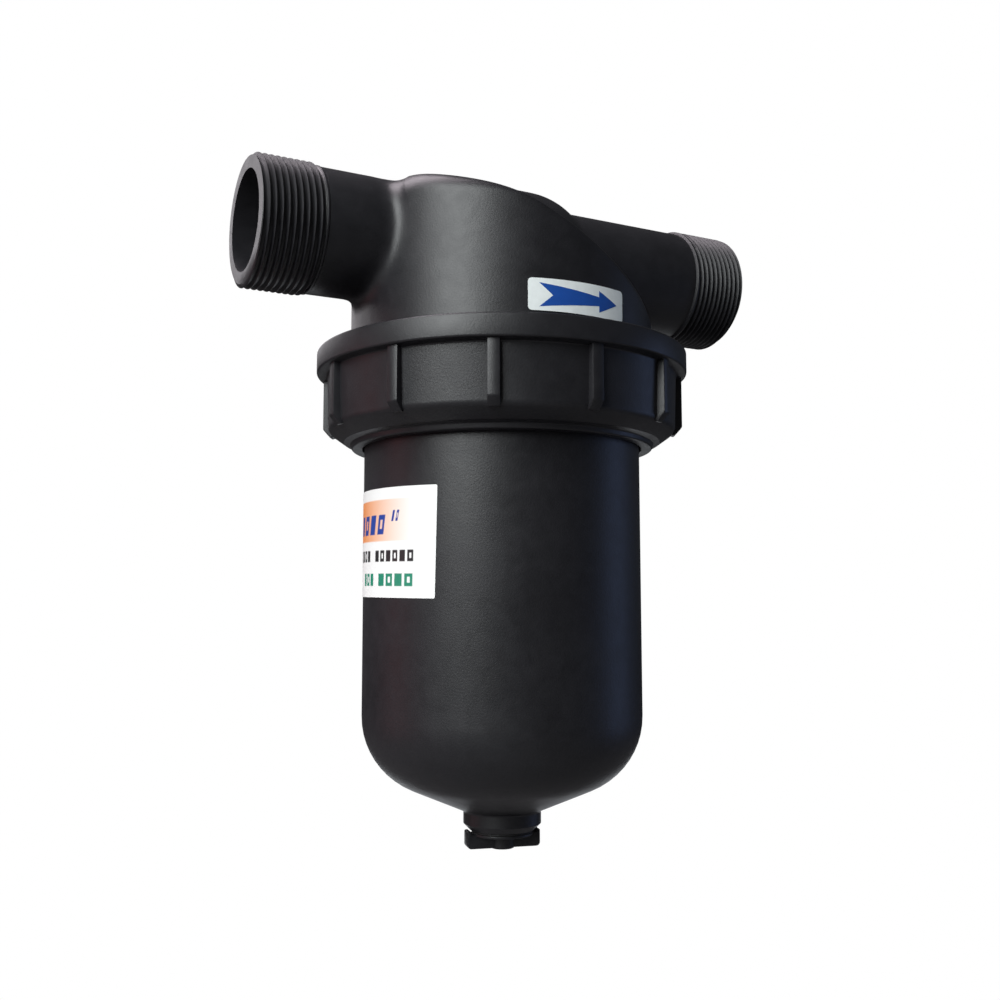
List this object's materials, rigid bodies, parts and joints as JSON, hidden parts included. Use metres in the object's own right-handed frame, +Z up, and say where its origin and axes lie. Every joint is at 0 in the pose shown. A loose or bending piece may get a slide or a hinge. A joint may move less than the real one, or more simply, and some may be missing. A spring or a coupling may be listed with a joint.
{
  "type": "irrigation disc filter",
  "caption": "Inline plastic disc filter for irrigation: head with two male-threaded ports, ribbed collar nut, long bowl with a drain cap, and a cartridge of stacked grooved discs inside.",
  "frame": {"origin": "crossing of the pipe axis through the two ports and the upright axis of the bowl", "axes": "+X along the pipe in the flow's direction, inlet at -X and outlet at +X; +Z up along the bowl's axis, the bowl hanging towards -Z; -Y is the side with the flow arrow"},
  "size_m": [0.2054, 0.1434, 0.2548],
  "materials": {
    "black_plastic": "satin moulded",
    "grey_plastic": "satin moulded",
    "red_plastic": "matte, finely grooved",
    "seal_rubber": "matte"
  },
  "bodies": {
    "head": {"head": "black_plastic"},
    "cartridge": {"cartridge_top": "grey_plastic", "cartridge_core": "grey_plastic", "cartridge_seal": "seal_rubber"},
    "bowl": {"bowl": "black_plastic", "bowl_seal": "seal_rubber"},
    "collar": {"collar_nut": "black_plastic"},
    "washer": {"drain_washer": "seal_rubber"},
    "cap": {"drain_cap": "black_plastic"},
    "stack": {"pressure_plate": "grey_plastic", "disc_pack_01": "red_plastic", "disc_pack_02": "red_plastic", "disc_pack_03": "red_plastic", "disc_pack_04": "red_plastic", "disc_pack_05": "red_plastic", "disc_pack_06": "red_plastic"},
    "nut": {"wing_nut": "grey_plastic"}
  },
  "joints": [
    {"name": "thread_travel", "type": "slide", "parent": "head", "child": "cartridge", "axis": [0, 0, -1], "range_m": [0, 0.024]},
    {"name": "bowl_pull", "type": "slide", "parent": "cartridge", "child": "bowl", "axis": [0, 0, -1], "range_m": [0, 0.14]},
    {"name": "collar_turn", "type": "hinge", "parent": "bowl", "child": "collar", "pos_m": [0, 0, -0.0576], "axis": [0, 0, -1], "range_deg": [0, 1440]},
    {"name": "stack_travel", "type": "slide", "parent": "cartridge", "child": "stack", "axis": [0, 0, -1], "range_m": [0, 0.008]},
    {"name": "nut_turn", "type": "hinge", "parent": "stack", "child": "nut", "pos_m": [0, 0, -0.18], "axis": [0, 0, -1], "range_deg": [0, 1440]},
    {"name": "drain_travel", "type": "slide", "parent": "bowl", "child": "washer", "axis": [0, 0, -1], "range_m": [0, 0.01]},
    {"name": "drain_turn", "type": "hinge", "parent": "washer", "child": "cap", "pos_m": [0, 0, -0.224], "axis": [0, 0, -1], "range_deg": [0, 1800]}
  ],
  "couplings": [
    {"joint": "thread_travel", "follows": "collar_turn", "m_per_rad": 0.00095493},
    {"joint": "nut_turn", "follows": "stack_travel", "rad_per_m": 3141.6},
    {"joint": "drain_travel", "follows": "drain_turn", "m_per_rad": 0.00031831}
  ]
}
